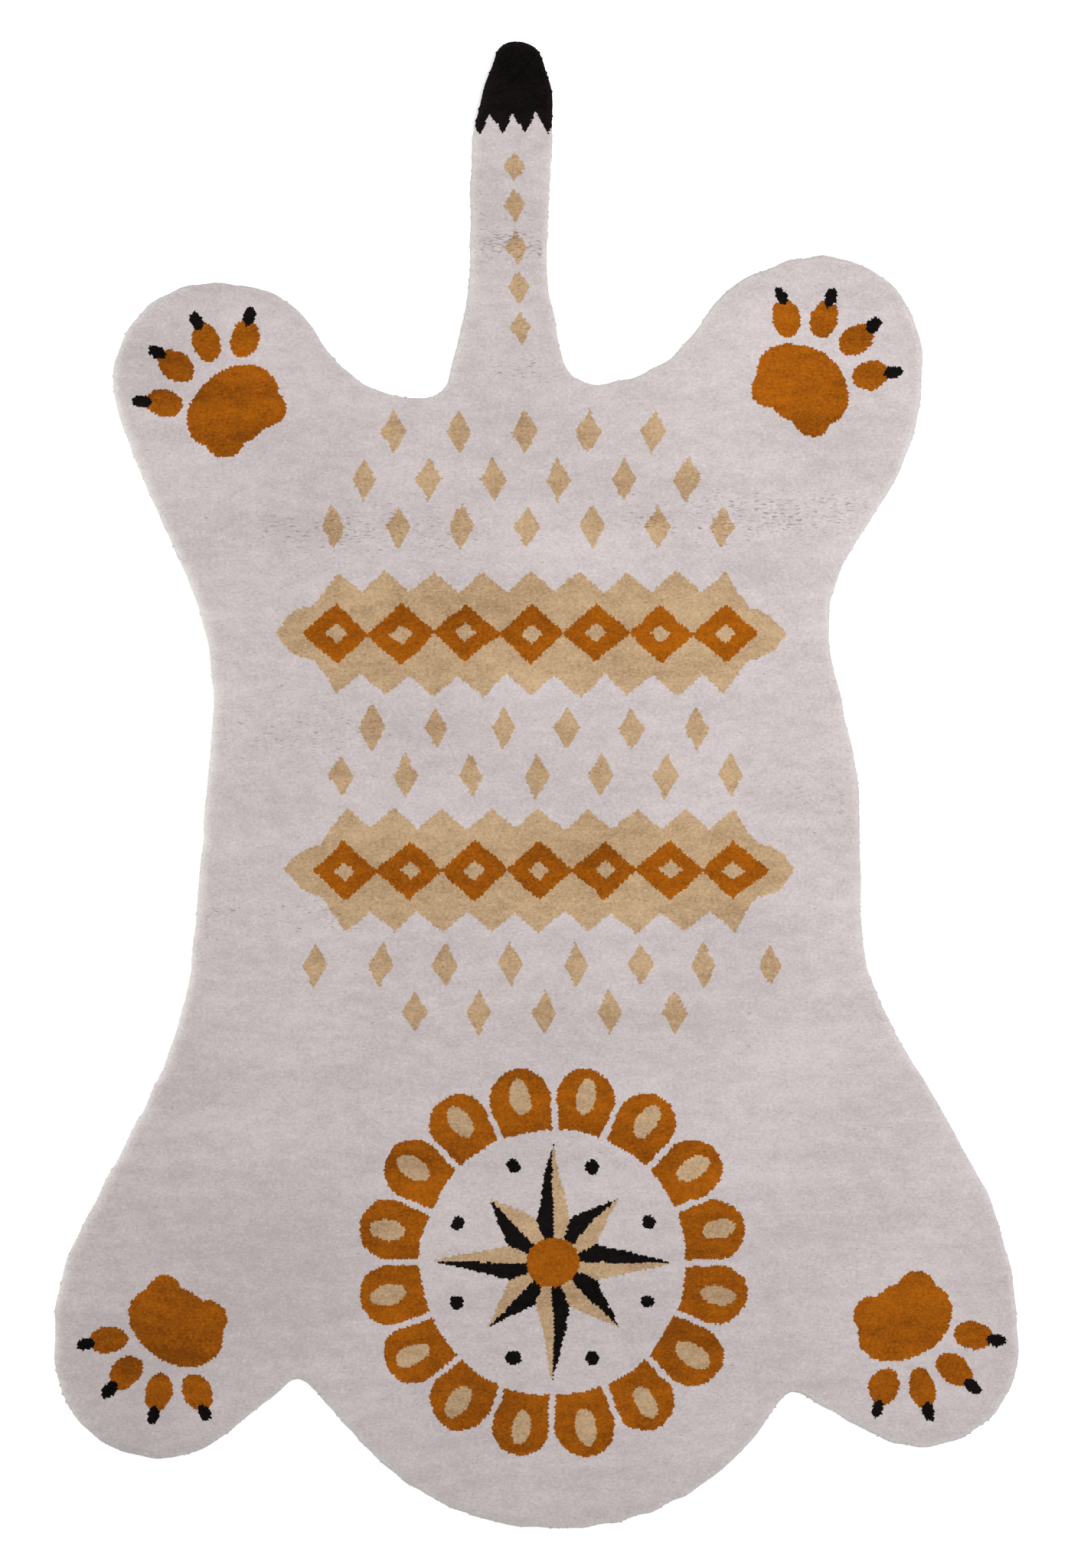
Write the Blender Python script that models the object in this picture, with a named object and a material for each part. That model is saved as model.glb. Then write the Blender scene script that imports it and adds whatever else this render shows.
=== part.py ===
"""A tufted floor rug cut to the outline of a lion lying flat with its paws spread.

The rug is one piece: a dense cut pile standing on a stiff glued backing. It lies face up on the
XY plane with its head towards -Y and its tail towards +Y, and its underside is the plane Z = 0.
"""

from math import asin, atan2, ceil, cos, hypot, pi, radians, sin, tau

import bmesh
import bpy

# ---- Driving dimensions, in metres ------------------------------------------------------------
BACKING_THICKNESS = 0.002
PILE_HEIGHT = 0.012
PILE_ROUND = 0.009  # how far in from the rim the pile top starts to fall away
BACKING_TUCK = 0.004  # how far the glued backing stops short of the pile's rim

ARC_STEP = radians(8.0)  # most turn between two points of an arc
LEAST_RUN = 0.008  # least distance between two points of a tight arc

PILE_COLOUR = (0.56, 0.50, 0.49, 1.0)
PILE_ROUGHNESS = 0.95

RUG_THICKNESS = BACKING_THICKNESS + PILE_HEIGHT

# The outline is a cord pulled round these pegs, counter-clockwise as seen from above. It passes
# outside a peg marked OUT, which makes a bulge, and inside one marked IN, which makes a hollow.
OUT, IN = +1, -1
PEGS = (
    # name               x       y       radius  side
    ("tail_tip",        -0.020,  0.820,  0.030,  OUT),
    ("tail_brush_left",  0.225,  0.695,  0.300,  OUT),
    ("tail_root_left",  -0.375,  0.600,  0.300,  IN),
    ("crotch_left",     -0.128,  0.471,  0.030,  IN),
    ("rump_left",       -0.135,  0.567,  0.125,  IN),
    ("hind_heel_left",  -0.345,  0.463,  0.108,  OUT),
    ("hind_paw_left",   -0.370,  0.460,  0.113,  OUT),
    ("hip_left",        -0.236,  0.460,  0.240,  OUT),
    ("waist_left",      -0.708,  0.095,  0.340,  IN),
    ("chest_left",      -0.840, -0.150,  0.450,  IN),
    ("foreleg_left",    -0.310, -0.625,  0.240,  OUT),
    ("fore_paw_left",   -0.430, -0.650,  0.120,  OUT),
    ("neck_left",       -0.270, -0.694,  0.015,  IN),
    ("cheek_left",       0.018, -0.560,  0.290,  OUT),
    ("cheek_right",      0.030, -0.565,  0.285,  OUT),
    ("neck_right",       0.294, -0.706,  0.013,  IN),
    ("fore_paw_right",   0.440, -0.645,  0.112,  OUT),
    ("foreleg_right",    0.160, -0.625,  0.390,  OUT),
    ("chest_right",      0.632, -0.145,  0.260,  IN),
    ("belly_right",      0.120, -0.020,  0.250,  OUT),
    ("waist_right",      0.505,  0.178,  0.170,  IN),
    ("hip_right",        0.182,  0.470,  0.260,  OUT),
    ("hind_paw_right",   0.325,  0.487,  0.117,  OUT),
    ("hind_heel_right",  0.290,  0.483,  0.108,  OUT),
    ("rump_right",       0.068,  0.598,  0.140,  IN),
    ("crotch_right",     0.068,  0.494,  0.037,  IN),
    ("tail_root_right",  0.313,  0.600,  0.300,  IN),
    ("tail_brush_right", -0.100, 0.770,  0.120,  OUT),
)

# The rim's section, from the underside to the pile top: how far each row lies inside the widest
# one, and its height. The backing stops short, the pile leans out over it and rounds over.
RIM_ROWS = (
    # inset                     height
    (BACKING_TUCK,              0.0),
    (0.5 * BACKING_TUCK,        BACKING_THICKNESS),
    (0.0,                       BACKING_THICKNESS + 0.35 * PILE_HEIGHT),
    (0.0,                       BACKING_THICKNESS + 0.60 * PILE_HEIGHT),
    (0.2 * PILE_ROUND,          BACKING_THICKNESS + 0.84 * PILE_HEIGHT),
    (0.5 * PILE_ROUND,          BACKING_THICKNESS + 0.96 * PILE_HEIGHT),
    (PILE_ROUND,                RUG_THICKNESS),
)


def clear_scene():
    for old in list(bpy.data.objects):
        bpy.data.objects.remove(old, do_unlink=True)


def run_headings(pegs):
    """The heading of the straight run from each peg to the next.

    With signed radii a and b, positive for OUT, a run leaves the line between the two centres
    by the angle whose sine is (a - b) over the distance between them.
    """
    headings = []
    for (_, x0, y0, r0, side0), (_, x1, y1, r1, side1) in zip(pegs, pegs[1:] + pegs[:1]):
        apart = hypot(x1 - x0, y1 - y0)
        off = asin((side0 * r0 - side1 * r1) / apart)
        headings.append(atan2(y1 - y0, x1 - x0) + off)
    return headings


def pulled_outline(pegs):
    """Points of the cord round the pegs, each with its outward direction: (x, y, out_x, out_y).

    Only the arcs need points, because a straight run joins the last point of one arc to the
    first of the next.
    """
    headings = run_headings(pegs)
    points = []
    for index, (_, x, y, radius, side) in enumerate(pegs):
        start = headings[index - 1]
        turn = (headings[index] - start + pi) % tau - pi
        steps = max(1, ceil(abs(turn) / max(ARC_STEP, LEAST_RUN / radius)))
        for step in range(steps + 1):
            heading = start + turn * step / steps
            out_x, out_y = sin(heading), -cos(heading)
            reach = side * radius
            points.append((x + reach * out_x, y + reach * out_y, out_x, out_y))
    return points


def centred(points):
    """The outline moved so that the middle of its box is at the origin."""
    mid_x = (min(p[0] for p in points) + max(p[0] for p in points)) / 2
    mid_y = (min(p[1] for p in points) + max(p[1] for p in points)) / 2
    return [(x - mid_x, y - mid_y, out_x, out_y) for x, y, out_x, out_y in points]


def pile_material():
    material = bpy.data.materials.new("pile")
    material.use_nodes = True
    shader = material.node_tree.nodes["Principled BSDF"]
    shader.inputs["Base Color"].default_value = PILE_COLOUR
    shader.inputs["Roughness"].default_value = PILE_ROUGHNESS
    shader.inputs["Metallic"].default_value = 0.0
    return material


def make_rug(outline):
    """One closed solid: the rim's rows round the outline, with a flat underside and top."""
    mesh = bpy.data.meshes.new("rug")
    bm = bmesh.new()
    rows = [
        [bm.verts.new((x - inset * out_x, y - inset * out_y, height))
         for x, y, out_x, out_y in outline]
        for inset, height in RIM_ROWS
    ]
    for low, high in zip(rows, rows[1:]):
        for here in range(len(outline)):
            ahead = (here + 1) % len(outline)
            bm.faces.new((low[here], low[ahead], high[ahead], high[here]))
    bm.faces.new(list(reversed(rows[0])))
    bm.faces.new(rows[-1])
    bm.to_mesh(mesh)
    bm.free()
    mesh.shade_smooth()
    mesh.set_sharp_from_angle(angle=radians(50.0))
    mesh.materials.append(pile_material())
    rug = bpy.data.objects.new("rug", mesh)
    bpy.context.scene.collection.objects.link(rug)
    return rug


clear_scene()
make_rug(centred(pulled_outline(PEGS)))
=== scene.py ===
# %% [markdown]
# # A lion shaped rug with a cut wool pile
#
# The real rug is tufted. A hand tool shoots yarn through a stretched ground cloth, row after row,
# and cuts every loop, so a dense pile of short yarn ends stands up. The pattern is drawn by
# changing the yarn. A plain cloth is glued behind, and the rug is cut to the outline of a lion
# that lies flat with its paws spread.
#
# A picture of yarn on a flat slab looks wrong from the side, and hair particles can't be handed
# on as a mesh. So here every yarn end is a small closed solid. Numpy works out where each one
# stands, its colour, its length and its lean, for all of them at once, and each colour of yarn
# becomes one mesh or a few.

import bpy
import numpy as np
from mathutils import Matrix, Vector


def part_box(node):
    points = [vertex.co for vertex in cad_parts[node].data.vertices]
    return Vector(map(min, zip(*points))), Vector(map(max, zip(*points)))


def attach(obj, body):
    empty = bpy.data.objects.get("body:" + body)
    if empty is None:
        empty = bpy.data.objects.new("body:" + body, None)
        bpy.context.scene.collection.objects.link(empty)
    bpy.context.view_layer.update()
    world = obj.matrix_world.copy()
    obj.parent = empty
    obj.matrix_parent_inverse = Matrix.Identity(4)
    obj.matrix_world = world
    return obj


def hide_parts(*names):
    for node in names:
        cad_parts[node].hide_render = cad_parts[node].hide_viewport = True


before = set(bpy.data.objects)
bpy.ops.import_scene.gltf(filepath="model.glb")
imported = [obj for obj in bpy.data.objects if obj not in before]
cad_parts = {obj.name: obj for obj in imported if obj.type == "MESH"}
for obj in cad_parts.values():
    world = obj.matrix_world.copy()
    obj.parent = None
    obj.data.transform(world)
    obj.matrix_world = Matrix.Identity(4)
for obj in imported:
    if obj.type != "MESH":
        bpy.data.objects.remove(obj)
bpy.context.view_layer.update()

rug_low, rug_high = (np.array(corner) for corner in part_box("rug"))
rug_width, rug_length, rug_top = rug_high - rug_low
print(f"the rug is {rug_width:.3f} by {rug_length:.3f} m and {1000 * rug_top:.0f} mm thick")

# %% [markdown]
# ## Camera
#
# The photograph looks straight down, with the head nearest and the tail at the top. It has so
# little perspective that the camera must have been high up with a long lens, so the camera goes
# 3.2 m up and the lens follows from how much of the picture's height the rug takes.

# %% Camera
PICTURE_WIDE, PICTURE_TALL = 1399, 2048  # pixels
RUG_TALL = 1943  # pixels from the head's edge to the tip of the tail
RUG_MIDDLE = (700.5, 1024.5)  # the pixel that the middle of the rug lies on
CAMERA_UP = 3.2
SENSOR_WIDE = 36.0  # mm

metres_per_pixel = rug_length / RUG_TALL
camera_data = bpy.data.cameras.new("camera")
camera_data.sensor_width = SENSOR_WIDE
camera_data.lens = SENSOR_WIDE * CAMERA_UP / (PICTURE_TALL * metres_per_pixel)
camera_data.clip_end = 50.0
camera = bpy.data.objects.new("camera", camera_data)
camera.location = (
    (PICTURE_WIDE / 2 - RUG_MIDDLE[0]) * metres_per_pixel,
    (RUG_MIDDLE[1] - PICTURE_TALL / 2) * metres_per_pixel,
    CAMERA_UP + rug_top / 2,
)
bpy.context.scene.collection.objects.link(camera)
bpy.context.scene.camera = camera
print(f"{1000 * metres_per_pixel:.3f} mm a pixel, lens {camera_data.lens:.1f} mm")

# %% [markdown]
# ## Shader maths
#
# A material is a small calculation for every point of a surface. Written as nodes it is hard to
# read, so one class wraps the output of a node, and `1 - wire` or `wire * 0.5` adds the Math node
# for it. Every other node comes from one method.

# %% A wire between two nodes
class Wire:
    """The output of a node, with arithmetic that adds Math nodes behind it."""

    def __init__(self, socket):
        self.socket = socket

    def node(self, kind, settings=None, sockets=None, out=0):
        """Adds a node: first its settings, then a value or a wire for each of its sockets."""
        tree = self.socket.id_data
        made = tree.nodes.new(kind)
        for setting, value in (settings or {}).items():
            setattr(made, setting, value)
        for socket, value in (sockets or {}).items():
            if isinstance(value, Wire):
                tree.links.new(value.socket, made.inputs[socket])
            else:
                made.inputs[socket].default_value = value
        return Wire(made.outputs[out])

    def maths(self, operation, *values):
        return self.node("ShaderNodeMath", {"operation": operation}, dict(enumerate(values)))

    def __add__(self, other):
        return self.maths("ADD", self, other)

    def __mul__(self, other):
        return self.maths("MULTIPLY", self, other)

    def __sub__(self, other):
        return self.maths("SUBTRACT", self, other)

    def __rsub__(self, other):
        return self.maths("SUBTRACT", other, self)

    def __pow__(self, other):
        return self.maths("POWER", self, other)

    __radd__, __rmul__ = __add__, __mul__


# %% Start a material
def start_material(name, roughness, sheen=0.0, shine=0.25):
    """A new material with its constants set, its shader's inputs and a wire of the object's own
    coordinates in metres, which every pattern in it starts from."""
    material = bpy.data.materials.new(name)
    material.use_nodes = True
    shader = material.node_tree.nodes["Principled BSDF"]
    shader.inputs["Roughness"].default_value = roughness
    shader.inputs["Specular IOR Level"].default_value = shine
    shader.inputs["Sheen Weight"].default_value = sheen
    shader.inputs["Sheen Roughness"].default_value = 0.6
    places = Wire(shader.outputs["BSDF"]).node("ShaderNodeTexCoord", out="Object")
    return material, shader.inputs, places


def join(wire, socket):
    """Leads a wire into a socket of the shader."""
    wire.socket.id_data.links.new(wire.socket, socket)


# %% Noise, waves and blends
def noise(places, size, detail=2.0):
    """Blender's noise with lumps of about this size in metres, as a wire from 0 to 1. A size of
    three numbers stretches the lumps along the three axes."""
    per_metre = tuple(1.0 / np.broadcast_to(size, 3))
    scaled = places.node("ShaderNodeVectorMath", {"operation": "MULTIPLY"},
                         {0: places, 1: per_metre})
    sockets = {"Vector": scaled, "Scale": 1.0, "Detail": detail}
    return places.node("ShaderNodeTexNoise", {}, sockets)


def wavy(places, size, reach):
    """The coordinates pushed to and fro along Y, by up to half of reach, in waves of this size."""
    scaled = places.node("ShaderNodeVectorMath", {"operation": "SCALE"}, {0: places, 3: 1 / size})
    waves = places.node("ShaderNodeTexNoise", {}, {"Vector": scaled, "Scale": 1.0, "Detail": 1.0},
                        out="Color")
    return places.node("ShaderNodeVectorMath", {"operation": "MULTIPLY_ADD"},
                       {0: waves, 1: (0.0, reach, 0.0), 2: places})


def blend(factor, low, high):
    """A colour from low to high, each (r, g, b) or a wire, as factor goes from 0 to 1."""
    low, high = (end if isinstance(end, Wire) else (*end, 1.0) for end in (low, high))
    sockets = {0: factor, 6: low, 7: high}
    return factor.node("ShaderNodeMix", {"data_type": "RGBA"}, sockets, out=2)


# %% [markdown]
# ## Floor and light
#
# A studio photographs a rug from above on a white table, under large soft lamps. The rug's own
# colours tell where they were: the ground yarn is a third lighter at the right hip than at the
# left front paw, so the largest lamp hangs over the upper right corner. The rims are lighter than
# the middle, most of all at the left, so a lamp also stands low at the left, a weak one low at the
# front, and the white table is lit from inside. Its light fills the shadow at the rug's edge, too.

# %% Floor
TABLE_GLOW = 0.50
TABLE_UNDER = 0.0004  # how far the table lies under the rug, so that the two don't flicker


def make_floor(size):
    """A flat square of lit paper just under the rug, with a faint unevenness in its white."""
    material, inputs, places = start_material("floor_paper", roughness=0.9)
    join(blend(noise(places, 0.4), (0.93, 0.93, 0.93), (0.97, 0.97, 0.97)), inputs["Base Color"])
    inputs["Emission Color"].default_value = (1.0, 1.0, 1.0, 1.0)
    inputs["Emission Strength"].default_value = TABLE_GLOW
    half = size / 2
    mesh = bpy.data.meshes.new("floor")
    corners = [(-half, -half, -TABLE_UNDER), (half, -half, -TABLE_UNDER),
               (half, half, -TABLE_UNDER), (-half, half, -TABLE_UNDER)]
    mesh.from_pydata(corners, [], [(0, 1, 2, 3)])
    mesh.materials.append(material)
    floor = bpy.data.objects.new("floor", mesh)
    bpy.context.scene.collection.objects.link(floor)
    return floor


make_floor(size=12.0)
print(f"floor {1000 * TABLE_UNDER:.1f} mm under the rug")

# %% Lamps and sky
SKY = 0.44
LAMPS = (
    # name         place                 size   watts
    ("key",        (1.30, 0.60, 2.40),   1.10,  52.0),
    ("low_left",   (-2.20, 0.10, 0.37),  0.70,  22.0),
    ("low_front",  (0.60, -2.30, 0.45),  0.70,  3.0),
)
LAMPS_AIM = (0.0, 0.15, 0.0)  # the place on the rug that every lamp points at

for name, place, size, watts in LAMPS:
    lamp_data = bpy.data.lights.new(name, "AREA")
    lamp_data.size = size
    lamp_data.energy = watts
    lamp = bpy.data.objects.new(name, lamp_data)
    lamp.location = place
    lamp.rotation_euler = Vector(np.subtract(place, LAMPS_AIM)).to_track_quat("Z", "Y").to_euler()
    bpy.context.scene.collection.objects.link(lamp)

world = bpy.data.worlds.new("sky")
world.use_nodes = True
background = world.node_tree.nodes["Background"].inputs
background["Color"].default_value = (1.0, 0.995, 0.985, 1.0)
background["Strength"].default_value = SKY
bpy.context.scene.world = world
bpy.context.scene.view_settings.view_transform = "Standard"
print(f"{len(LAMPS)} lamps and a sky of {SKY}")

# %% [markdown]
# ## The outline, read from the frame
#
# The pile has to end where the CAD solid does, so its outline is read from the solid's mesh and
# isn't typed in again. The mesh is loose triangles. Corners that lie on each other are merged
# first, and the triangles that stand on the widest row of the rim tell which corner comes after
# which. Then the line is softened, and made unsteady by a millimetre, because it is cut by hand.

# %% Read the widest row of the rim
def widest_row(node):
    """The rug's outline in order, counter-clockwise from above, as an (n, 2) array, and the two
    heights between which the rim is widest.

    A triangle of the upright band there has two corners on its lower row or one. Those with two
    each give one step along the outline. To follow the steps without a loop over corners, the
    list found so far is joined to itself moved on by 1, 2, 4, 8 ... steps.
    """
    mesh = node.data
    places = np.empty((len(mesh.vertices), 3), np.float32)
    mesh.vertices.foreach_get("co", places.ravel())
    corners = np.empty(len(mesh.loops), np.int32)
    mesh.loops.foreach_get("vertex_index", corners)
    spots, merged = np.unique(places.astype(float).round(6), axis=0, return_inverse=True)
    faces = merged.ravel()[corners].reshape(-1, 3)
    heights = spots[:, 2]
    widest = heights[spots[:, 0] > spots[:, 0].max() - 1e-6]
    on_row = np.abs(heights - widest.min()) < 1e-5
    standing = (on_row[faces].sum(1) == 2) & (heights[faces].max(1) > widest.min() + 1e-5)
    faces = faces[standing]
    apex = np.argmin(on_row[faces], axis=1)
    rows = np.arange(len(faces))
    here, ahead = faces[rows, (apex + 1) % 3], faces[rows, (apex + 2) % 3]
    jump = np.zeros(len(spots), int)
    jump[here] = ahead
    order = here[:1]
    while len(order) < len(here):
        order = np.concatenate((order, jump[order]))
        jump = jump[jump]
    return spots[order[:len(here)], :2], widest.min(), widest.max()


def loop_area(loop):
    """Area inside a closed loop, by the shoelace rule: half the sum of the cross products."""
    ahead = np.roll(loop, -1, axis=0)
    return 0.5 * (loop[:, 0] * ahead[:, 1] - loop[:, 1] * ahead[:, 0]).sum()


corner_loop, widest_from, widest_to = widest_row(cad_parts["rug"])
rug_area = loop_area(corner_loop)
print(f"{len(corner_loop)} corners round {rug_area:.4f} square metres")

# %% Even steps along the outline
def even_steps(loop, step):
    """Points about one step apart along a closed loop of straight edges."""
    closed = np.vstack((loop, loop[:1]))
    along = np.concatenate(([0.0], np.cumsum(np.hypot(*np.diff(closed, axis=0).T))))
    steps = round(along[-1] / step)
    wanted = np.arange(steps) * along[-1] / steps
    return np.column_stack([np.interp(wanted, along, closed[:, axis]) for axis in (0, 1)])


def softened(loop, reach):
    """A loop whose corners are rounded off: each point becomes the mean of its neighbours out to
    reach, weighted by a raised cosine."""
    count = round(reach / np.hypot(*(loop[1] - loop[0])))
    moves = np.arange(-count, count + 1)
    weights = 1 + np.cos(np.pi * moves / (count + 1))
    moved = [weight * np.roll(loop, move, axis=0) for weight, move in zip(weights, moves)]
    return sum(moved) / weights.sum()


def outward(loop):
    """Unit directions that point out of a counter-clockwise loop."""
    ahead = np.roll(loop, -1, axis=0) - np.roll(loop, 1, axis=0)
    ahead /= np.linalg.norm(ahead, axis=1, keepdims=True)
    return np.column_stack((ahead[:, 1], -ahead[:, 0]))


def wander(x, y, wavelength, seed):
    """A smooth random field of about -1 to 1 with waves of about this length: eight sine waves in
    random directions, added and divided by four."""
    waves = np.random.default_rng(seed)
    total = 0.0
    for heading, phase, stretch in zip(
        waves.uniform(0, 2 * np.pi, 8), waves.uniform(0, 2 * np.pi, 8), waves.uniform(0.7, 1.5, 8)
    ):
        across = x * np.cos(heading) + y * np.sin(heading)
        total = total + np.sin(2 * np.pi * across / (stretch * wavelength) + phase)
    return total / 4


OUTLINE_STEP = 0.002
UNSTEADY = 0.0010  # how far the shears stray from the line

outline = softened(even_steps(corner_loop, OUTLINE_STEP), reach=0.009)
stray = UNSTEADY * wander(*outline.T, 0.035, seed=11)
outline = outline + stray[:, None] * outward(outline)
outline_length = np.linalg.norm(np.roll(outline, -1, axis=0) - outline, axis=1).sum()
print(f"the outline is {outline_length:.2f} m long")

# %% How far inside the outline a point is
def depth_inside(points, loop):
    """For each point its distance from the loop, positive inside it, and the unit direction from
    the inside to the outside there.

    The distance to one edge is that to the nearest place on it, which is the point's shadow on
    the edge, kept between its two ends. A point is inside if a line from it towards +X crosses
    the loop an odd number of times. Points are taken a few thousand at a time to save memory.
    """
    edge = np.roll(loop, -1, axis=0) - loop
    depth, way_out = np.empty(len(points)), np.empty((len(points), 2))
    for some in np.array_split(np.arange(len(points)), len(points) // 4000 + 1):
        gap_x = points[some, :1] - loop[:, 0]
        gap_y = points[some, 1:] - loop[:, 1]
        shadow = (gap_x * edge[:, 0] + gap_y * edge[:, 1]) / (edge**2).sum(1)
        shadow = shadow.clip(0.0, 1.0)
        off_x, off_y = gap_x - shadow * edge[:, 0], gap_y - shadow * edge[:, 1]
        nearest = (off_x**2 + off_y**2).argmin(1)
        rows = np.arange(len(some))
        off = np.column_stack((off_x[rows, nearest], off_y[rows, nearest]))
        distance = np.linalg.norm(off, axis=1)
        straddles = (gap_y < 0) != (gap_y < edge[:, 1])
        with np.errstate(divide="ignore", invalid="ignore"):
            crossed = straddles & (gap_x < gap_y * edge[:, 0] / edge[:, 1])
        inside = crossed.sum(1) % 2 == 1
        sign = np.where(inside, 1.0, -1.0)
        depth[some] = sign * distance
        way_out[some] = off * (-sign / np.maximum(distance, 1e-9))[:, None]
    return depth, way_out


coarse_outline = outline[::4]  # a point every 8 mm is enough to measure from
print("depth at the middle of the rug, in mm:",
      (1000 * depth_inside(np.zeros((1, 2)), coarse_outline)[0]).round())

# %% [markdown]
# ## Where the yarn ends stand
#
# The tufting tool works in straight rows across the rug, and each row falls into the gaps of the
# last, so the ends stand like the cells of a honeycomb. The rug in the photograph has an end about
# every 3 mm or less. That is some 200,000 ends, and the whole rug is kept under a million
# triangles, so an end gets three sides and a closed foot. Wandering rows and a little scatter hide
# the regular grid.

# %% Stand the yarn ends in rows
PILE_TRIANGLES = 836_000  # for the top of the pile, if it went right out to the outline
TUFT_SIDES = 3
FACES_PER_TUFT = 2 * TUFT_SIDES - 2  # its sides and its closed foot
FIRST_ROW_IN = 0.0046  # nearer the outline the rim's own ends take over
ROW_GAP = np.sqrt(3) / 2  # from one row to the next, as a share of the spacing
SCATTER = 0.18  # as a share of it, too
ROW_WANDER = 0.0006

draw = np.random.default_rng(71)


def staggered_rows(low, high, spacing):
    """Points of a honeycomb over a box: rows that lie sqrt(3)/2 of the spacing apart, every
    second one moved on by half of it."""
    columns = np.arange(low[0], high[0], spacing)
    rows = np.arange(low[1], high[1], spacing * ROW_GAP)
    x, y = np.meshgrid(columns, rows)
    x[1::2] += spacing / 2
    return x.ravel(), y.ravel()


spacing = np.sqrt(rug_area * FACES_PER_TUFT / PILE_TRIANGLES / ROW_GAP)
x, y = staggered_rows(rug_low, rug_high, spacing)
x = x + ROW_WANDER * wander(x, y, 0.030, seed=3) + draw.uniform(-SCATTER, SCATTER, x.size) * spacing
y = y + ROW_WANDER * wander(x, y, 0.040, seed=4) + draw.uniform(-SCATTER, SCATTER, x.size) * spacing
depth, way_out = depth_inside(np.column_stack((x, y)), coarse_outline)
kept = depth > FIRST_ROW_IN
x, y, depth, way_out = x[kept], y[kept], depth[kept], way_out[kept]
print(f"{x.size} yarn ends, {1000 * spacing:.2f} mm apart")

# %% [markdown]
# ## The pattern
#
# The maker draws the pattern on the ground cloth and fills each field with one yarn. So the
# pattern is a question asked of every yarn end: which field does it stand in? Each motif is a
# plain shape given by a formula. A slow wobble of 2 mm moves the ends before they are asked, and
# gives the fields the unsteady edges of hand work.
#
# The motifs are ordinary ones: a medallion with petals and an eight-pointed star on the head, a
# paw print on each paw, and two belts of diamonds across the back, with rows of lozenges between.

# %% Shapes that a yarn end can stand in
GROUND, OCHRE, TAN, BLACK = range(4)


def seen_from(x, y, centre, heading):
    """Coordinates seen from a motif: along its heading, in degrees, and to the left of it."""
    turn = np.radians(heading)
    off_x, off_y = x - centre[0], y - centre[1]
    along = off_x * np.cos(turn) + off_y * np.sin(turn)
    return along, off_y * np.cos(turn) - off_x * np.sin(turn)


def in_oval(along, across, half_long, half_wide):
    """Inside an ellipse: the squares of both coordinates over the half axes add to under 1."""
    return (along / half_long) ** 2 + (across / half_wide) ** 2 < 1


def in_diamond(along, across, half_long, half_wide):
    """Inside a diamond: both coordinates over the half axes, without sign, add to under 1."""
    return np.abs(along) / half_long + np.abs(across) / half_wide < 1


def zigzag(along, pitch):
    """A triangle wave from 0 to 1 and back, once every pitch."""
    return 2 * np.abs((along / pitch) % 1 - 0.5)


# %% Paw prints
PAWS = (
    # name          x       y      heading
    ("hind_left",   -0.370, 0.460, 128),
    ("hind_right",  0.325,  0.487, 56),
    ("fore_left",   -0.430, -0.650, 240),
    ("fore_right",  0.440,  -0.645, 300),
)
PAD = (0.042, 0.057)  # half long, half wide
PAD_BACK = 0.038  # how far the pad lies behind the middle of the paw
LOBE, LOBE_BACK, LOBE_OUT = 0.021, 0.025, 0.030  # the pad's two lobes: radius, way back, way out
TOE = (0.0225, 0.0160)
TOE_OUT = 0.079  # from the middle of the pad to the middle of a toe
TOE_HEADINGS = (-48, -16, 16, 48)
CLAW = (0.0110, 0.0070)
CLAW_OUT = 0.004  # from the tip of a toe to the middle of its claw


def paw_print(yarn, x, y, centre, heading):
    """Fills in a pad, four toes round it and a claw before each toe."""
    along, across = seen_from(x, y, centre, heading)
    along = along + PAD_BACK
    yarn[in_oval(along, across, *PAD)] = OCHRE
    yarn[in_oval(along + LOBE_BACK, np.abs(across) - LOBE_OUT, LOBE, LOBE)] = OCHRE
    for toe_heading in TOE_HEADINGS:
        out, side = seen_from(along, across, (0, 0), toe_heading)
        yarn[in_oval(out - TOE_OUT, side, *TOE)] = OCHRE
        yarn[in_oval(out - TOE_OUT - TOE[0] - CLAW_OUT, side, *CLAW)] = BLACK


# %% Petals and star
HEAD_CENTRE = (0.019, -0.545)
PETALS = 16
PETAL_FROM, PETAL_ROUND_AT = 0.152, 0.190  # radii where a petal starts and its round end begins
PETAL_GAP = 0.0075
DROP = (0.020, 0.0115)  # the tan drop in each petal: half long, half wide
DROP_AT = 0.192  # how far out the middle of a drop lies
POINTS = 8
POINT_LONG = (0.136, 0.104)  # how long every second point of the star is, and the ones between
STAR_WAIST = 0.050  # how far out a point is widest
STAR_MIDDLE = 0.029
DOTS_OUT, DOT = 0.118, 0.0080  # how far out the dots between the points lie, and their radius


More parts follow.
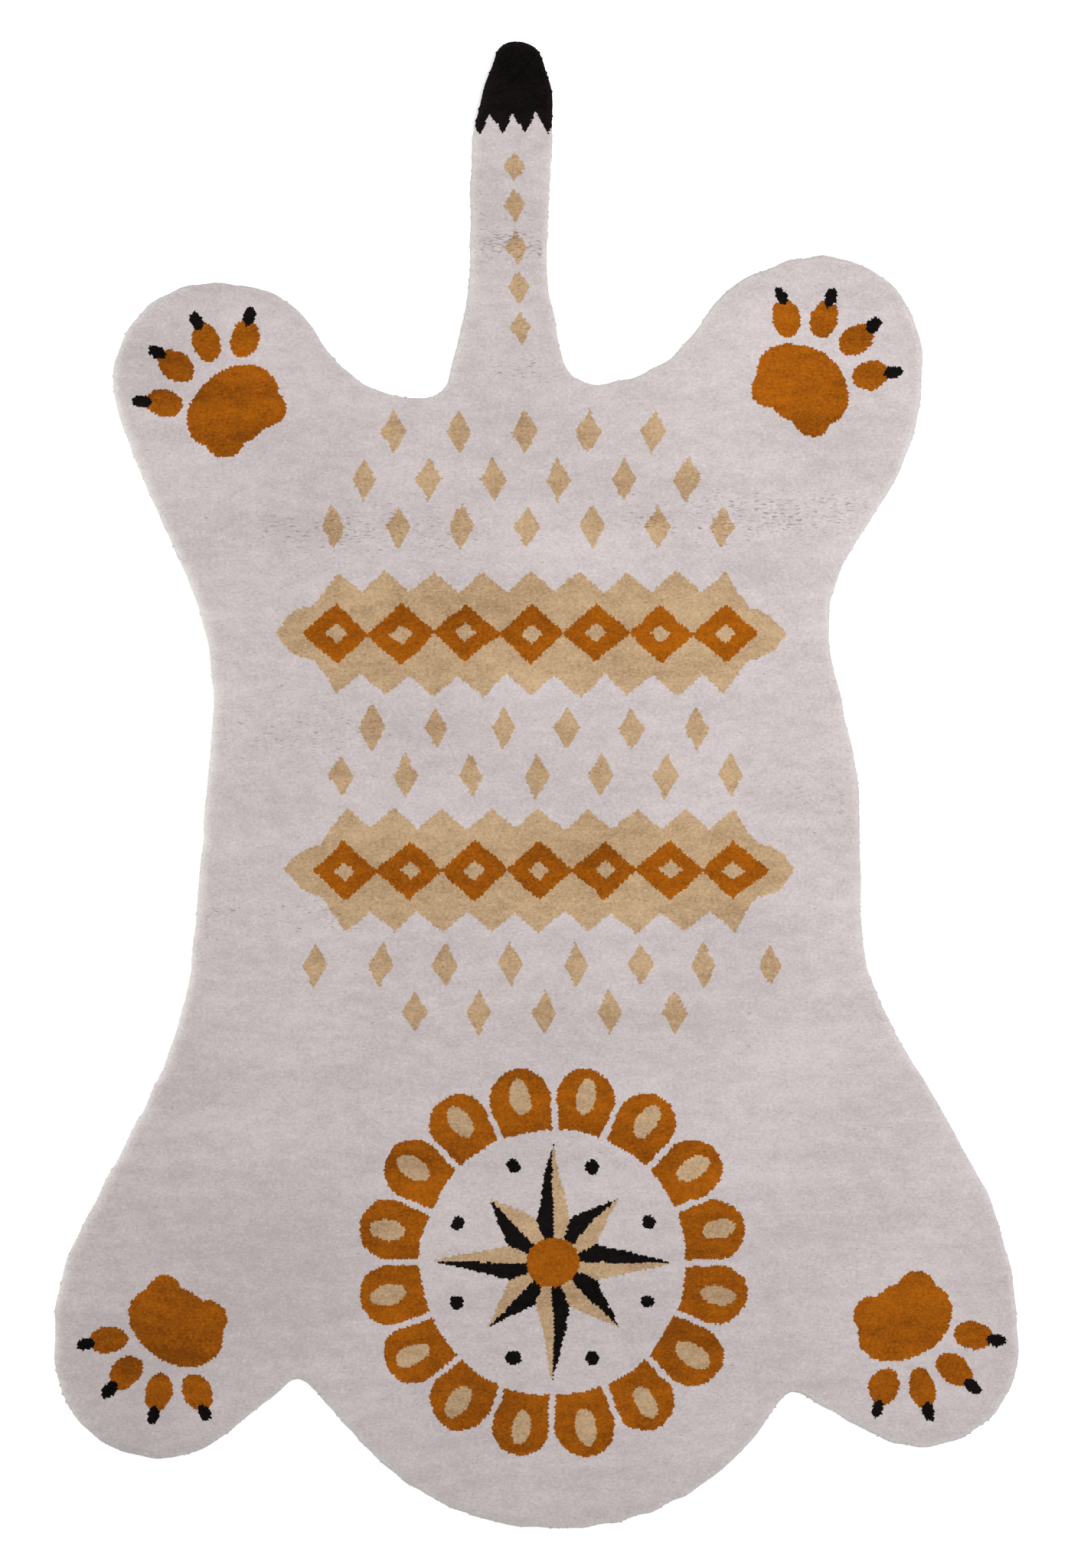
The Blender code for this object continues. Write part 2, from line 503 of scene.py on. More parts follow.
def petals_and_star(yarn, x, y):
    """Fills in the medallion on the head: a ring of petals and the star in the middle of it. Half
    the width of a star's point grows from its root to its waist and falls again to its tip, both
    in proportion to the way from there."""
    along, across = seen_from(x, y, HEAD_CENTRE, 90)
    radius, angle = np.hypot(along, across), np.arctan2(across, along)
    petal = 2 * np.pi / PETALS
    off_axis = (angle / petal - np.floor(angle / petal) - 0.5) * petal
    out, side = radius * np.cos(off_axis), np.abs(radius * np.sin(off_axis))
    half_wide = out * np.tan(petal / 2) - PETAL_GAP / 2
    round_end = PETAL_ROUND_AT * np.tan(petal / 2) - PETAL_GAP / 2
    straight = (radius > PETAL_FROM) & (out < PETAL_ROUND_AT) & (side < half_wide)
    yarn[straight | in_oval(out - PETAL_ROUND_AT, side, round_end, round_end)] = OCHRE
    yarn[in_oval(out - DROP_AT, side, *DROP)] = TAN
    turn = 360 / POINTS
    widening = np.tan(np.pi / POINTS)
    for index in range(POINTS):
        out, side = seen_from(along, across, (0, 0), turn * index)
        tip = POINT_LONG[index % 2]
        narrowing = widening * STAR_WAIST * (tip - out) / (tip - STAR_WAIST)
        in_point = (out > 0) & (np.abs(side) < np.minimum(out * widening, narrowing))
        yarn[in_point] = np.where(side[in_point] > 0, BLACK, TAN)
        out, side = seen_from(along, across, (0, 0), turn * (index + 0.5))
        yarn[in_oval(out - DOTS_OUT, side, DOT, DOT)] = BLACK
    yarn[radius < STAR_MIDDLE] = OCHRE


# %% Back
BELTS = (0.172, -0.098)  # y of the belts across the back
BELT_LONG, BELT_HIGH, BELT_END = 0.290, 0.047, 0.07  # half long, half high, and its tapered end
CHAIN_PITCH, LINKS = 0.074, 7  # from one diamond of the chain to the next, and how many
LINK = (0.0385, 0.034)  # half long, half high
LINK_HOLE = (0.0125, 0.0110)
TOOTH, TOOTH_PITCH = 0.024, 0.75 * CHAIN_PITCH
LOZENGE_ROWS = (
    # y       half long
    (0.402,   0.200),
    (0.348,   0.200),
    (0.294,   0.275),
    (0.064,   0.240),
    (0.010,   0.275),
    (-0.206,  0.275),
    (-0.260,  0.200),
)
LOZENGE_PITCH = 0.074
LOZENGE = (0.0255, 0.0145)
SPINE = (0.0002, -0.0355)  # the back's middle line: its x at y = 0, and how that changes with y


def spine(y):
    """The x of the middle line of the back and the tail, which runs a little askew."""
    return SPINE[0] + SPINE[1] * y


def back(yarn, x, y):
    """Fills in the toothed belts with a chain of diamonds on each, and the rows of lozenges, each
    row moved on by half a pitch from the last."""
    for belt in BELTS:
        along, off = x - spine(belt), np.abs(y - belt)
        ends = ((BELT_LONG - np.abs(along)) / BELT_END).clip(0, 1)
        teeth = TOOTH * zigzag(along, TOOTH_PITCH)
        yarn[off < (BELT_HIGH + teeth) * ends**0.8] = TAN
        link = along - CHAIN_PITCH * np.round(along / CHAIN_PITCH)
        on_belt = np.abs(along) < LINKS / 2 * CHAIN_PITCH
        yarn[on_belt & in_diamond(link, off, *LINK)] = OCHRE
        yarn[on_belt & in_diamond(link, off, *LINK_HOLE)] = TAN
    for index, (row, half_long) in enumerate(LOZENGE_ROWS):
        shift = LOZENGE_PITCH / 2 * (index % 2)
        along = x - spine(row) - shift
        lozenge = LOZENGE_PITCH * np.round(along / LOZENGE_PITCH)
        in_row = np.abs(lozenge + shift) < half_long
        yarn[in_row & in_diamond(y - row, along - lozenge, *LOZENGE)] = TAN


# %% Tail
TAIL_FROM, TAIL_PITCH = 0.475, 0.046  # y of the body's end, and from one diamond to the next
TAIL_DIAMONDS = 5
TAIL_DIAMOND = (0.019, 0.0125)
BRUSH_FROM = 0.742
BRUSH_TOOTH, BRUSH_PITCH = 0.024, 0.0265


def tail(yarn, x, y):
    """Fills in the black brush with its zigzag edge and the small diamonds below it."""
    off = x - spine(y)
    row = np.round((y - TAIL_FROM) / TAIL_PITCH)
    in_tail = (row > 0) & (row <= TAIL_DIAMONDS)
    yarn[in_tail & in_diamond(y - TAIL_FROM - TAIL_PITCH * row, off, *TAIL_DIAMOND)] = TAN
    yarn[y > BRUSH_FROM + BRUSH_TOOTH * zigzag(off, BRUSH_PITCH)] = BLACK


# %% Ask every yarn end
WOBBLE, SMALL_WOBBLE = 0.0020, 0.0005


def pattern(x, y):
    """The yarn that stands at each place, as one of GROUND, OCHRE, TAN and BLACK."""
    x = x + WOBBLE * wander(x, y, 0.090, seed=21) + SMALL_WOBBLE * wander(x, y, 0.025, seed=22)
    y = y + WOBBLE * wander(x, y, 0.090, seed=23) + SMALL_WOBBLE * wander(x, y, 0.025, seed=24)
    yarn = np.full(x.shape, GROUND)
    petals_and_star(yarn, x, y)
    back(yarn, x, y)
    tail(yarn, x, y)
    for _, paw_x, paw_y, heading in PAWS:
        paw_print(yarn, x, y, (paw_x, paw_y), heading)
    return yarn


yarn = pattern(x, y)
print("ends of ground, ochre, tan and black yarn:", np.bincount(yarn, minlength=4))

# %% [markdown]
# ## Folds, and painted nap shade
#
# The rug was folded for storage before it was photographed. Where it was bent, the rows have
# parted: thin dark dashes that run across the rug, in clusters. This says how strong a fold is at
# each yarn end. The dashes are thinner than an end, so the yarn's material paints them as shadow.
# The nap lies a little differently from band to band, and its lighter and darker strips, and the
# darker or lighter nap on the tail, one front paw and one flank, are painted shade and light.

# %% Old folds
FOLDS = (
    # name            x        y       half long  half high  strength
    ("tail_upper",    -0.022,  0.618,  0.060,     0.026,     1.30),
    ("tail_lower",    -0.020,  0.475,  0.065,     0.012,     0.75),
    ("right_hip",     0.275,   0.309,  0.120,     0.032,     1.05),
    ("right_hip_in",  0.160,   0.302,  0.080,     0.030,     0.75),
    ("left_hip",      -0.225,  0.288,  0.115,     0.027,     0.95),
    ("left_hip_in",   -0.120,  0.287,  0.070,     0.028,     0.75),
    ("left_waist",    -0.265,  0.060,  0.130,     0.042,     0.60),
    ("left_chest",    -0.290,  -0.151, 0.120,     0.024,     0.65),
    ("right_waist",   0.325,   -0.020, 0.080,     0.042,     0.55),
)


def fold_strength(x, y):
    """How strongly the pile was bent at each place, from 0 to about 1.4: a soft hill over each
    fold, exp(-(x^4 + y^2)), patchy along its length, times its strength."""
    total = np.zeros(x.shape)
    for fold, (_, fold_x, fold_y, half_long, half_high, strength) in enumerate(FOLDS):
        off = ((x - fold_x) / half_long) ** 4 + ((y - fold_y) / half_high) ** 2
        patchy = 0.85 + 0.25 * wander(x, y, 0.040, seed=60 + fold)
        total = np.maximum(total, strength * patchy * np.exp(-off))
    return total


fold = fold_strength(x, y)
print("yarn ends on a fold:", (fold > 0.3).sum())

# %% Tone of the pile
NAP_PATCHES = (
    # name                x       y       half wide  half high  tone
    ("tail",              -0.020, 0.640,  0.150,     0.170,     -0.13),
    ("left_front_paw",    -0.400, -0.570, 0.210,     0.200,     -0.25),
    ("left_flank",        -0.390, 0.070,  0.070,     0.120,     0.20),
)


def nap_bands(x, y):
    """Broad strips of lighter and darker nap, about -1 to 1: a field that changes four or five
    times as fast down the rug as across it."""
    return wander(x / 5, y, 0.11, seed=41) * 0.6 + wander(x / 4, y, 0.035, seed=42) * 0.4


def nap_patches(x, y):
    """Lighter and darker areas where the nap lies to the light or away from it: a soft hill,
    exp(-(x^2 + y^2)), over each area, times its tone."""
    return sum(change * np.exp(-((x - at_x) / half_wide) ** 2 - ((y - at_y) / half_high) ** 2)
               for _, at_x, at_y, half_wide, half_high, change in NAP_PATCHES)


END_TONE, PAINTED_BAND_SHADE = 0.09, 0.18  # how much the tone changes from end to end, and the painted nap shade from band to band
SMALL_TONE, LARGE_TONE = 0.06, 0.13  # and in patches of 30 mm and of 220 mm
OCHRE_PAINTED_BANDS = 0.15  # painted shade and light: broad strips of lighter and darker nap across the ochre
OCHRE_NAP = 0.25  # how much of the painted nap patches the ochre takes, as ochre's own shade and light lie far apart

# The tone is the yarn's own random differences, from end to end and in patches, plus painted shade and
# light from the nap's bands and patches.
tone = 0.5 + END_TONE * draw.standard_normal(x.size)
tone += (PAINTED_BAND_SHADE * nap_bands(x, y) + SMALL_TONE * wander(x, y, 0.030, seed=43)
         + LARGE_TONE * wander(x, y, 0.22, seed=44))
# painted shade and light: broad strips on the ochre, and the nap's patches
tone += np.where(yarn == OCHRE, OCHRE_PAINTED_BANDS, 0.0) * wander(x / 4, y, 0.085, seed=45)
tone += np.where(yarn == OCHRE, OCHRE_NAP, 1.0) * nap_patches(x, y)
print(f"tone from {tone.min():.2f} to {tone.max():.2f}")

# %% [markdown]
# ## The shape of a yarn end
#
# A yarn end shows only its blunt fuzzy tip, because its neighbours hide the rest. So it is a low
# pyramid, wide enough to sink into its neighbours all round. The corners of its foot lie along the
# surface of the pile, about a millimetre under it. Round the rim that surface turns down, and the
# foot bends with it, so no corner of it stands out between the tips.

# %% One yarn end
def one_tuft(sides):
    """The triangles of one yarn end, and each triangle corner's place in its square of the map.

    Corners go round the foot and end with the tip. The foot's triangles come first. On the map
    the sides spread round the tip, and the foot, which nobody sees, is a small copy tucked into
    one corner.
    """
    around = np.arange(sides)
    foot = [(0, k + 1, k) for k in range(1, sides - 1)]
    faces = np.array(foot + [(k, (k + 1) % sides, sides) for k in around])
    angle = 2 * np.pi * (around + 0.5) / sides
    place = np.vstack((np.column_stack((np.cos(angle), np.sin(angle))), (0, 0)))
    low, high = place.min(0), place.max(0)
    place = (place - (low + high) / 2) * 2 / (high - low).max()
    spots = place[faces]
    spots[:len(foot)] = place[0] + 0.15 * (spots[:len(foot)] - place[0])
    return faces, spots, len(foot)


def foot_ring(radius, sides):
    """The corners of each foot, seen from its middle: a circle of a few points, turned at random."""
    angle = draw.uniform(0, 2 * np.pi, (len(radius), 1)) + 2 * np.pi * np.arange(sides) / sides
    return radius[:, None] * np.cos(angle), radius[:, None] * np.sin(angle)


# %% Many yarn ends as one mesh
MAP_CELL = 0.44  # how much of its square on the texture map a yarn end fills, from its middle
FOOT_ANGLE = 1.6  # radians: edges sharper than this keep the foot out of the sides' smooth shading
MESH_ROW = 0.004  # ends are stored by rows of this height, from left to right


def tuft_mesh(name, material, corners, marks):
    """One mesh object of many yarn ends, with a number from each mark stored at every corner.

    On the map each end has a square of its own, row by row, so that a picture baked later holds
    a few pixels for each.
    """
    ends, per_end = corners.shape[:2]
    faces, spots, foot_faces = one_tuft(per_end - 1)
    order = np.lexsort((corners[:, -1, 0], (corners[:, -1, 1] / MESH_ROW).round()))
    corners = corners[order]
    all_faces = faces + per_end * np.arange(ends)[:, None, None]
    mesh = bpy.data.meshes.new(name)
    mesh.vertices.add(ends * per_end)
    mesh.loops.add(all_faces.size)
    mesh.polygons.add(all_faces.size // 3)
    mesh.vertices.foreach_set("co", corners.astype(np.float32).ravel())
    mesh.loops.foreach_set("vertex_index", all_faces.astype(np.int32).ravel())
    mesh.polygons.foreach_set("loop_start", np.arange(0, all_faces.size, 3, dtype=np.int32))
    smooth = np.tile(np.arange(len(faces)) >= foot_faces, ends)
    mesh.polygons.foreach_set("use_smooth", smooth)
    across = int(np.ceil(np.sqrt(ends)))
    square = np.column_stack((np.arange(ends) % across, np.arange(ends) // across)) + 0.5
    on_map = (square[:, None, None] + MAP_CELL * spots) / across
    layer = mesh.uv_layers.new(name="OFBake")
    layer.uv.foreach_set("vector", on_map.astype(np.float32).ravel())
    for mark, values in marks.items():
        stored = mesh.attributes.new(mark, "FLOAT", "POINT")
        stored.data.foreach_set("value", values[order].astype(np.float32).ravel())
    mesh.materials.append(material)
    mesh.update(calc_edges=True)
    mesh.set_sharp_from_angle(angle=FOOT_ANGLE)
    made = bpy.data.objects.new(name, mesh)
    bpy.context.scene.collection.objects.link(made)
    print(f"{name}: {ends} yarn ends, {len(mesh.polygons)} triangles")
    return made


# %% [markdown]
# ## Yarn
#
# Wool yarn is matt, with a soft bloom of loose fibres. Each end took the dye a little differently,
# its root is darker because less light gets down to it, the rim is painted paler as light where it
# faces the low lamps, and a finer grain shows the fibres. The tone, which also holds painted nap
# shade and light, the root, the fold and the rim are numbers on the mesh, so they follow each end.
# The clouding and the fibres come from noise in the object's own coordinates.

# %% Yarn materials
FIBRES = (0.0036, 0.0021, 0.0022)  # sizes of the lumps of noise along the three axes
CLOUDS = (0.024, 0.010, 0.020)
DASHES = (0.0095, 0.0014, 1.0)
DASH_FROM = 0.72  # the noise from which a dash begins
FOLD_DASHES = 0.155  # how much a fold adds to the noise, so that more of it makes dashes
DASH_EDGE = 12.0  # how sharply a dash begins


def yarn_material(name, sheen, shade, light, side):
    """Wool of a colour between shade and light, all (r, g, b), blended at the rim towards the pale
    side colour, which is painted light. Dashes of painted shadow lie across it, few and faint on
    plain pile and close together on a fold."""
    material, inputs, places = start_material(name, roughness=0.95, sheen=sheen, shine=0.08)
    tone, root, fold, rim = (
        places.node("ShaderNodeAttribute", {"attribute_name": mark}, out="Fac")
        for mark in ("tone", "root", "fold", "rim"))
    fibres = noise(places, FIBRES, detail=2.0)
    clouds = noise(places, CLOUDS, detail=3.0)
    mix = tone + 0.90 * (clouds - 0.5) + 1.35 * (fibres - 0.5) - 0.15 * root**1.5
    mix = mix.node("ShaderNodeClamp", {}, {"Value": mix})
    dashes = noise(wavy(places, size=0.010, reach=0.006), DASHES, detail=1.0)
    dashes = (dashes + FOLD_DASHES * fold - DASH_FROM) * DASH_EDGE
    dashes = dashes.node("ShaderNodeClamp", {}, {"Value": dashes})
    # painted shadow: the partings of a fold are a darker shade of the yarn
    gap = tuple(0.55 * part for part in shade)
    dashes = dashes * (1 - rim)
    # painted light: towards the rim the wool is blended to the pale side colour, as far as the rim mark
    # says
    wool = blend(rim * (0.30 + 0.6 * mix), blend(mix, shade, light), side)
    join(blend(0.92 * dashes, wool, gap), inputs["Base Color"])
    join(0.86 + 0.12 * fibres, inputs["Roughness"])
    bump = {"Strength": 0.35, "Distance": 0.0006, "Height": fibres - 2.0 * dashes}
    join(fibres.node("ShaderNodeBump", {}, bump), inputs["Normal"])
    return material


# the side colour is painted light: the pale colour laid on the rim where it faces the low lamps
YARNS = {
    # yarn:  name           sheen  shade                    light                     side
    GROUND: ("ground_yarn", 0.20, (0.475, 0.420, 0.420),   (0.665, 0.590, 0.592),    (0.74, 0.735, 0.69)),
    OCHRE:  ("ochre_yarn",  0.02, (0.185, 0.048, 0.001),   (0.440, 0.121, 0.0027),   (0.45, 0.13, 0.004)),
    TAN:    ("tan_yarn",    0.06, (0.345, 0.222, 0.122),   (0.610, 0.428, 0.255),    (0.60, 0.44, 0.28)),
    BLACK:  ("black_yarn",  0.0,  (0.001, 0.0006, 0.0006), (0.010, 0.0066, 0.0064),  (0.014, 0.010, 0.009)),
}
yarn_materials = {kind: yarn_material(*facts) for kind, facts in YARNS.items()}
print("yarns:", ", ".join(material.name for material in yarn_materials.values()))

# %% [markdown]
# ## The pile
#
# The top of the pile is level, and over the last 14 mm it falls away to the rim, first slowly and
# then steeply. The tips scatter a little below that surface, lean with the nap, and lean out near
# the rim. On a fold they are uneven and some sink.

# %% The surface of the pile
PILE_ROUND = 0.014


def pile_surface(depth):
    """Height of the top of the pile. With s for the share of PILE_ROUND that is left to go, it is
    the widest row's height plus the rest of the height times (1 - s^2.2)^0.8: upright at the rim
    and level at PILE_ROUND."""
    left = (1 - depth / PILE_ROUND).clip(0, 1)
    return widest_to + (rug_top - widest_to) * (1 - left**2.2) ** 0.8


print("height of the pile 0, 2, 5 and 14 mm inside the outline, in mm:",
      (1000 * pile_surface(np.array([0.0, 0.002, 0.005, 0.014]))).round(1))

# %% Place feet and tips
TUFT_TALL = 0.0011
TUFT_RADIUS = 2.1 * spacing
RIM_NARROWER = 0.43  # how much of the radius an end loses towards the rim
LEAN_RANDOM, LEAN_OUT, LEAN_NAP = 0.00025, 0.0008, 0.00030
LEVEL_UNEVEN, FOLD_UNEVEN, FOLD_SINK = 0.00025, 0.0004, 0.0007

nearness = (1 - depth / PILE_ROUND).clip(0, 1)  # 1 at the rim, 0 where the pile is level
lean = LEAN_RANDOM * draw.standard_normal((x.size, 2)) + LEAN_OUT * nearness[:, None] * way_out
lean[:, 1] -= LEAN_NAP * (1 - nearness) * (1 + nap_bands(x, y))
sunk = (wander(x / 6, y, 0.0075, seed=51).clip(0, 1) * fold).clip(0, 1)
uneven = LEVEL_UNEVEN + FOLD_UNEVEN * fold
down = draw.uniform(0, 1, x.size) ** 1.5 * uneven + FOLD_SINK * sunk
tall = TUFT_TALL * draw.uniform(0.85, 1.15, x.size)
tips = np.column_stack((x + lean[:, 0] / 2, y + lean[:, 1] / 2, pile_surface(depth) - down))
radii = TUFT_RADIUS * draw.uniform(0.92, 1.08, x.size) * (1 - RIM_NARROWER * nearness)
ring_x, ring_y = foot_ring(radii, TUFT_SIDES)
foot_depth = depth[:, None] - ring_x * way_out[:, :1] - ring_y * way_out[:, 1:]
feet = np.stack((x[:, None] - lean[:, :1] / 2 + ring_x, y[:, None] - lean[:, 1:] / 2 + ring_y,
                 pile_surface(foot_depth) - (down + tall)[:, None]), axis=2)
corners = np.concatenate((feet, tips[:, None]), axis=1)
print(f"tips between {1000 * tips[:, 2].min():.1f} and {1000 * tips[:, 2].max():.1f} mm up")


# %% Marks at every corner
def marks_of(tone, fold, rim, sides):
    """The numbers that the yarn's material asks for, at every corner of every end."""
    root = np.array([1.0] * sides + [0.0])
    marks = {"tone": tone, "fold": fold, "rim": rim}
    marks = {mark: np.tile(values[:, None], (1, root.size)) for mark, values in marks.items()}
    return marks | {"root": np.tile(root, (tone.size, 1))}


def painted_rim_light(nearness, way_out):
    """How much painted light lies on the rim: more towards the outline, and most at the left and
    the head, which face the low lamps. It is nearness^1.5 times 0.35 to 1, by the way out."""
    facing_low_lamps = (1 - 0.7 * way_out[:, 0] - 0.7 * way_out[:, 1]) / 2
    return nearness**1.5 * (0.35 + 0.65 * facing_low_lamps.clip(0, 1))


# the rim mark is painted light on the rim, most where it faces the low lamps
marks = marks_of(tone, fold, painted_rim_light(nearness, way_out), TUFT_SIDES)
print("marks:", ", ".join(marks))

# %% Make the pile, strip by strip
GROUND_STRIPS = ("left_side", "left_back", "right_back", "right_side")
PILE_PIECES = []  # (object, slot in the record)


def add_pile(name, kind, slot, chosen):
    """Adds one piece of the pile from the chosen yarn ends."""
    some = {mark: values[chosen] for mark, values in marks.items()}
    piece = tuft_mesh(name, yarn_materials[kind], corners[chosen], some)
    PILE_PIECES.append((piece, slot))


ground_x = x[yarn == GROUND]
cuts = np.quantile(ground_x, np.linspace(0, 1, len(GROUND_STRIPS) + 1))
strip = np.searchsorted(cuts[1:-1], x)
for number, side in enumerate(GROUND_STRIPS):
    add_pile(f"ground_pile_{side}", GROUND, "ground_pile", (yarn == GROUND) & (strip == number))
add_pile("ochre_pile", OCHRE, "ochre_pile", yarn == OCHRE)
add_pile("tan_pile", TAN, "tan_pile", yarn == TAN)
add_pile("black_pile", BLACK, "black_pile", yarn == BLACK)

# %% [markdown]
# ## The rim
#
# At the cut edge nothing holds the pile up from outside, so the last ends lean over and hide the
# edge of the backing. They stand in rows that follow the outline, from beside the backing's edge
# up to the first ends of the top, each facing away from the rounded edge.

# %% The edge's section and its surface
LOWEST_ROW = (0.0026, 0.0010)  # how far inside the outline, and how high
SLOPE_REACH = 0.0012  # the slope is measured over this distance up and down the section


def rim_section():
    """The edge's section as points, inset against height, with how far each lies along it. They
    lie closer together near the outline, where the section bends most."""
    over = np.linspace(0, 1, 80) ** 2 * 2.5 * FIRST_ROW_IN
    section = np.column_stack((np.concatenate(([LOWEST_ROW[0], 0.0], over)),
                               np.concatenate(([LOWEST_ROW[1], widest_from], pile_surface(over)))))
    return section, np.concatenate(([0.0], np.cumsum(np.hypot(*np.diff(section, axis=0).T))))


def on_rim(at, up):
    """A point of the edge's surface and the direction it faces, at a place along the outline,
    counted in its points, and a distance up the section. Where the section runs up by dh while it
    moves in by di, the surface faces out by dh and up by di."""
    section, along = rim_section()
    up = np.clip(up, 0, along[-1])
    inset, height = (np.interp(up, along, side) for side in section.T)
    move_in, move_up = (
        np.interp(up + SLOPE_REACH, along, side) - np.interp(up - SLOPE_REACH, along, side)
        for side in section.T)
    low = np.floor(at).astype(int)
    share = (at - low)[..., None]
    here, ahead = low % len(outline), (low + 1) % len(outline)
    out = outward(outline)[here] * (1 - share) + outward(outline)[ahead] * share
    on = outline[here] * (1 - share) + outline[ahead] * share - inset[..., None] * out
    facing = np.concatenate((move_up[..., None] * out, move_in[..., None]), axis=-1)
    facing /= np.linalg.norm(facing, axis=-1, keepdims=True)
    return np.concatenate((on, height[..., None]), axis=-1), facing


# %% Rows of yarn ends round the rim
RIM_SIDES = 4
RIM_TALL = 0.0012
RIM_RADIUS = 1.8 * spacing
RIM_SCATTER = 0.25  # as a share of the gap between two ends and between two rows
OVERLAP = 0.0004  # how far the rows reach in past the first row of the top
RIM_UNEVEN = (-0.0004, 0.0002)  # how far tips stand out from the surface
STRAYS, STRAY_OUT = 0.05, 0.0012  # the share of the ends that stand out more, and by how much


def rim_ends():
    """Corners of the rim's yarn ends, their depths and their ways out of the outline: rows at even
    gaps along the section."""
    section, along = rim_section()
    top_row = np.interp(FIRST_ROW_IN + OVERLAP, section[1:, 0], along[1:])
    rows = round(top_row / (spacing * ROW_GAP)) + 1
    per_row = round(outline_length / spacing)
    row = np.repeat(np.arange(rows), per_row)
    at = np.tile(np.arange(per_row), rows) + 0.5 * (row % 2)
    at = (at + draw.uniform(-RIM_SCATTER, RIM_SCATTER, row.size)) / per_row * len(outline)
    up = top_row / (rows - 1) * (row + draw.uniform(-RIM_SCATTER, RIM_SCATTER, row.size)).clip(0)
    surface, facing = on_rim(at, up)
    stray = STRAY_OUT * (draw.uniform(0, 1, row.size) < STRAYS) * (facing[:, 2] < 0.7)
    tips = surface + (draw.uniform(*RIM_UNEVEN, row.size) + stray)[:, None] * facing
    ring_along, ring_up = foot_ring(RIM_RADIUS * draw.uniform(0.9, 1.1, row.size), RIM_SIDES)
    per_metre = len(outline) / outline_length
    surface, facing = on_rim(at[:, None] + ring_along * per_metre, up[:, None] + ring_up)
    feet = surface - RIM_TALL * facing
    way_out = outward(outline)[at.astype(int) % len(outline)]
    return (np.concatenate((feet, tips[:, None]), axis=1), np.interp(up, along, section[:, 0]),
            way_out)


rim_corners, rim_depth, rim_way_out = rim_ends()
print(f"lowest corner of the rim's ends {1000 * rim_corners[..., 2].min():.2f} mm up")

# %% Make the rim
rim_tips = rim_corners[:, -1]
rim_count = len(rim_tips)
rim_tone = 0.5 + END_TONE * draw.standard_normal(rim_count)
# painted nap shade and light, as on the top of the pile
rim_tone += PAINTED_BAND_SHADE * nap_bands(*rim_tips[:, :2].T) + nap_patches(*rim_tips[:, :2].T)
# the rim mark of the rim's own ends: painted light, most where they face the low lamps
rim_marks = marks_of(rim_tone, np.zeros(rim_count),
                     painted_rim_light(1 - rim_depth / PILE_ROUND, rim_way_out), RIM_SIDES)
rim_yarn = np.where(pattern(*rim_tips[:, :2].T) == BLACK, BLACK, GROUND)
for name, kind, slot in (("rim_pile", GROUND, "ground_pile"),
                         ("rim_pile_tail", BLACK, "black_pile")):
    chosen = rim_yarn == kind
    some = {mark: values[chosen] for mark, values in rim_marks.items()}
    piece = tuft_mesh(name, yarn_materials[kind], rim_corners[chosen], some)
    PILE_PIECES.append((piece, slot))

# %% [markdown]
# ## The bed of the pile and the backing
#
# Under the tips the yarn stands so close that it is one solid mass, and behind it is the glued
# cloth. Both are a section carried round the outline: rows of points that step in from it, joined
# row by row and closed at the top and the bottom. The backing stops a little short of the pile,
# so that it doesn't show from above.

# %% Carry a section round the outline
SHARP_EDGE = 0.9  # radians: an edge that bends by more than this isn't shaded smooth


def slab(name, material, section):
    """A closed flat solid. Each row of the section says how far inside the outline it runs and
    at what height, from the bottom to the top."""
    loop = outline[::3]  # nobody sees the edge closely enough to need every point
    out = outward(loop)
    count = len(loop)
    rows = [np.column_stack((loop - inset * out, np.full(count, height)))
            for inset, height in section]
    here = np.arange(count)
    ahead = (here + 1) % count
    walls = [np.column_stack((here + low, ahead + low, ahead + low + count, here + low + count))
             for low in count * np.arange(len(section) - 1)]
    caps = [here[::-1], here + count * (len(section) - 1)]
    faces = [face.tolist() for face in (*np.vstack(walls), *caps)]
    mesh = bpy.data.meshes.new(name)
    mesh.from_pydata(np.vstack(rows), [], faces)
    mesh.materials.append(material)
    mesh.shade_smooth()
    mesh.set_sharp_from_angle(angle=SHARP_EDGE)
    made = bpy.data.objects.new(name, mesh)
    bpy.context.scene.collection.objects.link(made)
    print(f"{name}: {len(mesh.polygons)} faces")
    return made


# %% Bed of the pile
BACKING_THICK = 0.002
BED_DOWN = 0.0016  # how far the bed's top lies under the feet of the ends


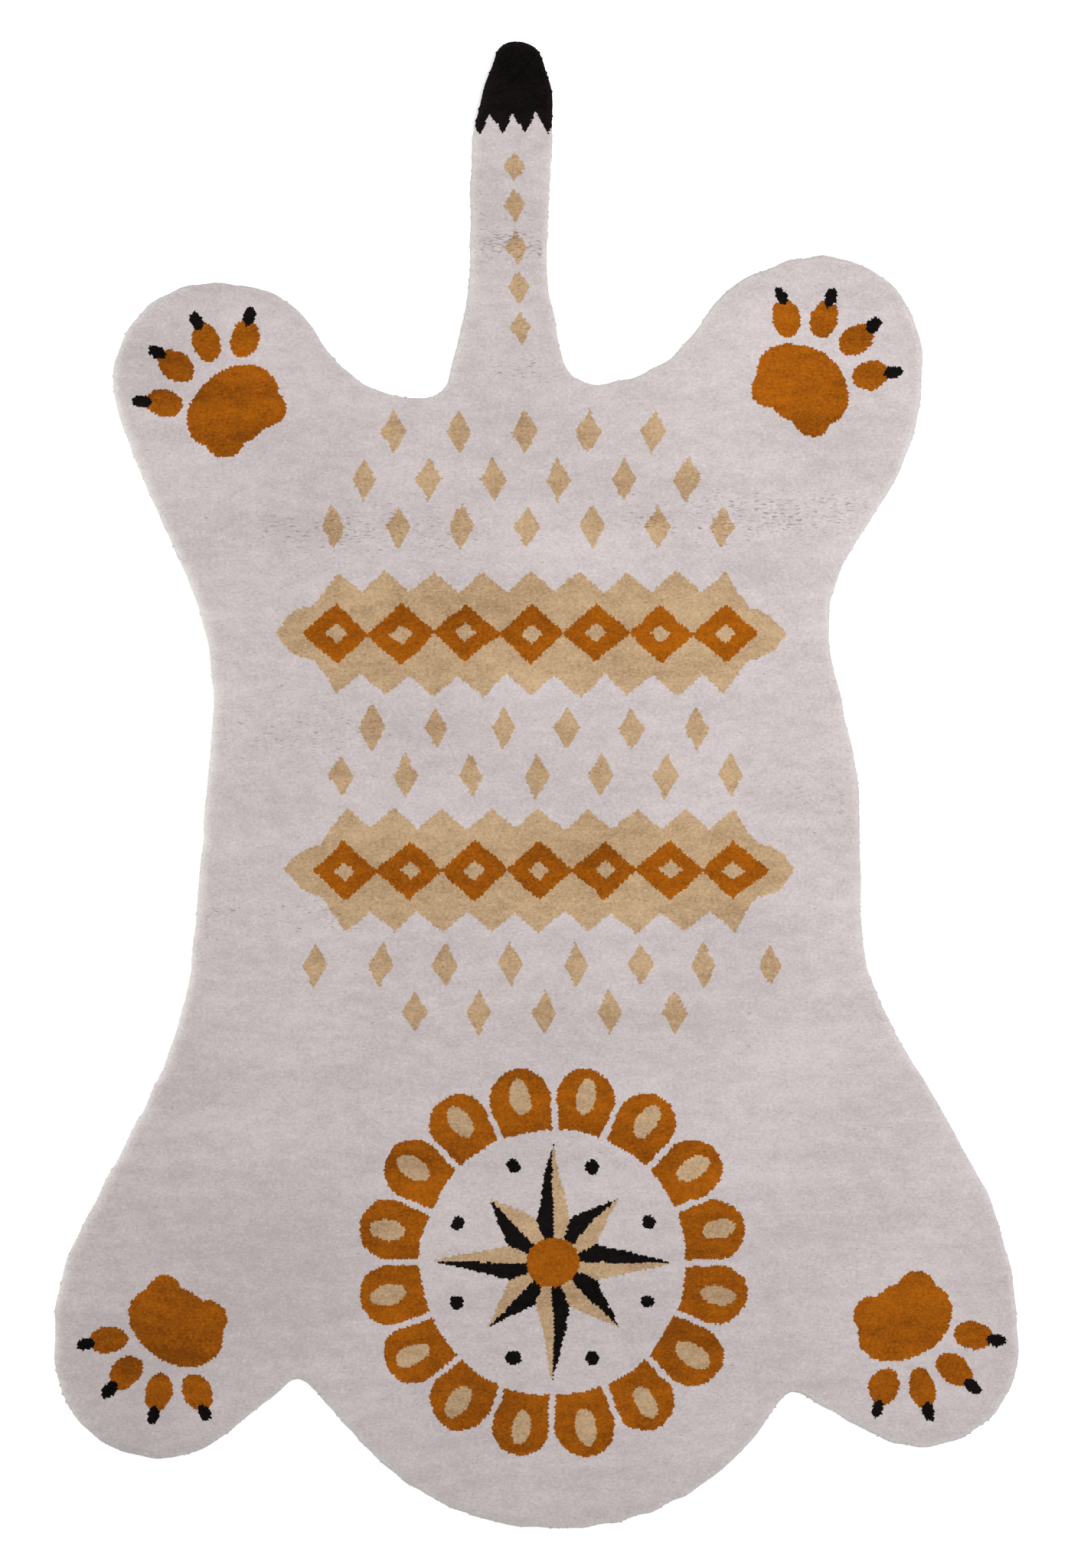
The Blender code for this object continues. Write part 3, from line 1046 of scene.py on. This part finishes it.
def bed_material():
    """The roots of the yarn: the ground colour in shade, grained like the pile."""
    material, inputs, places = start_material("pile_roots", roughness=0.95)
    grain = noise(places, 0.0030)
    _, _, shade, light, _ = YARNS[GROUND]
    join(blend(grain, tuple(0.55 * c for c in shade), tuple(0.75 * c for c in light)),
         inputs["Base Color"])
    bump = {"Strength": 0.5, "Distance": 0.001, "Height": grain}
    join(grain.node("ShaderNodeBump", {}, bump), inputs["Normal"])
    return material


bed_top = rug_top - TUFT_TALL - BED_DOWN
pile_bed = slab("pile_bed", bed_material(), (
    # inset   height
    (0.0048,  BACKING_THICK),
    (0.0036,  0.0042),
    (0.0036,  0.0078),
    (0.0062,  bed_top - 0.0006),
    (0.0100,  bed_top),
))

# %% Backing cloth
THREAD = 0.0011  # from one thread of the weave to the next


def backing_material():
    """Plain woven cotton. Two waves at right angles, multiplied, rise where a thread passes over
    and sink where it passes under."""
    material, inputs, places = start_material("backing_cloth", roughness=0.9)
    sides = places.node("ShaderNodeSeparateXYZ", {}, {0: places}).socket.node.outputs
    across, along = (Wire(sides[side]) * (np.pi / THREAD) for side in ("X", "Y"))
    weave = 0.5 + 0.5 * across.maths("SINE", across) * along.maths("SINE", along)
    slub = noise(places, 0.004)
    join(blend(0.6 * weave + 0.4 * slub, (0.44, 0.39, 0.30), (0.72, 0.66, 0.55)),
         inputs["Base Color"])
    bump = {"Strength": 0.6, "Distance": 0.0004, "Height": weave}
    join(weave.node("ShaderNodeBump", {}, bump), inputs["Normal"])
    return material


backing = slab("backing", backing_material(), (
    # inset   height
    (0.0042,  0.0),
    (0.0040,  0.0004),
    (0.0040,  BACKING_THICK - 0.0003),
    (0.0046,  BACKING_THICK - 0.0001),
))

# %% [markdown]
# ## The pieces on one body
#
# Every piece rides on the one body, and the CAD solid that they stand for is hidden. The rug lies
# flat: its backing is the cloth that was cut, and the pile is fixed to it.

# %% The body
PILE_PIECES.append((pile_bed, "ground_pile"))
for piece, slot in (*PILE_PIECES, (backing, "backing_cloth")):
    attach(piece, "root")
    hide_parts("rug")

# %% Sizes and the end
total = sum(len(piece.data.polygons) for piece, _ in PILE_PIECES)
print(f"{total} faces in the pile and its bed")
